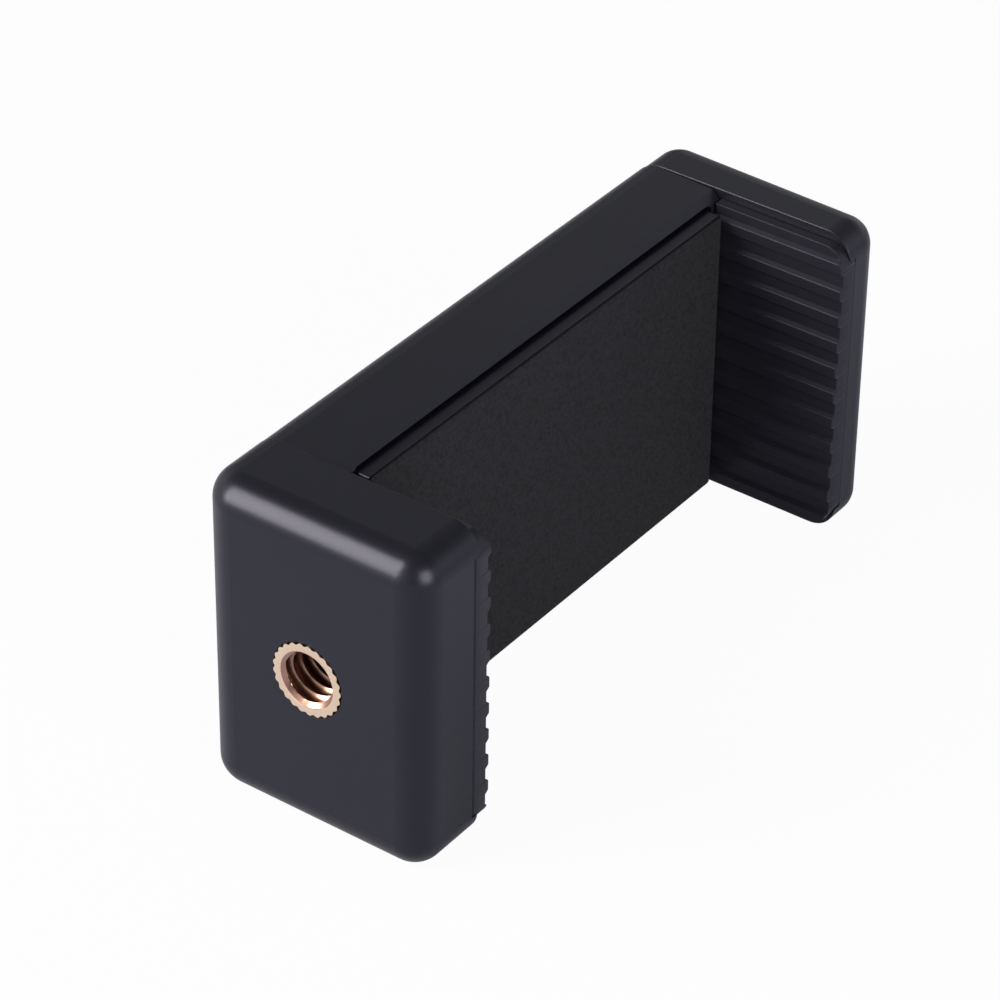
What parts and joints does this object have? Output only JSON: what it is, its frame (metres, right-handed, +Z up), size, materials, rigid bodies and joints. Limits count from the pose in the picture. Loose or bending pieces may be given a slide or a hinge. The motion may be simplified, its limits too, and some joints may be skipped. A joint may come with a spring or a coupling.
{
  "type": "tripod phone mount adapter",
  "caption": "Spring-loaded clamp with two ribbed jaws and a foam-faced channel that holds a phone on a tripod thread.",
  "frame": {"origin": "on the axis of the tripod thread, where the thread starts, in the plane of the fixed jaw's outer face", "axes": "+X along the clamp from the threaded jaw to the sliding jaw, -Y towards the tips of the jaws, +Z up across the width of the jaws"},
  "size_m": [0.0757, 0.0256, 0.035],
  "materials": {
    "shell": "fine matt moulded, near black",
    "plate": "smooth moulded, near black",
    "grip": "moulded black rubber",
    "foam": "closed-cell foam, speckled dark grey",
    "insert": "turned and knurled",
    "screws": "zinc plated",
    "spring_wire": "bright drawn wire"
  },
  "bodies": {
    "base": {"base_frame": "shell", "thread_insert": "insert", "base_pad": "grip", "front_plate": "plate", "foam_pad": "foam", "cover_screws": "screws", "base_anchor_screws": "screws", "spring_upper": "spring_wire", "spring_lower": "spring_wire"},
    "slider": {"slide_jaw": "shell", "slide_pad": "grip", "slide_anchor_screws": "screws"}
  },
  "joints": [
    {"name": "jaw_slide", "type": "slide", "parent": "base", "child": "slider", "axis": [1, 0, 0], "range_m": [0, 0.027], "stiffness_N_per_m": 250, "springref_m": -0.03, "deforming": ["spring_upper", "spring_lower"]}
  ]
}
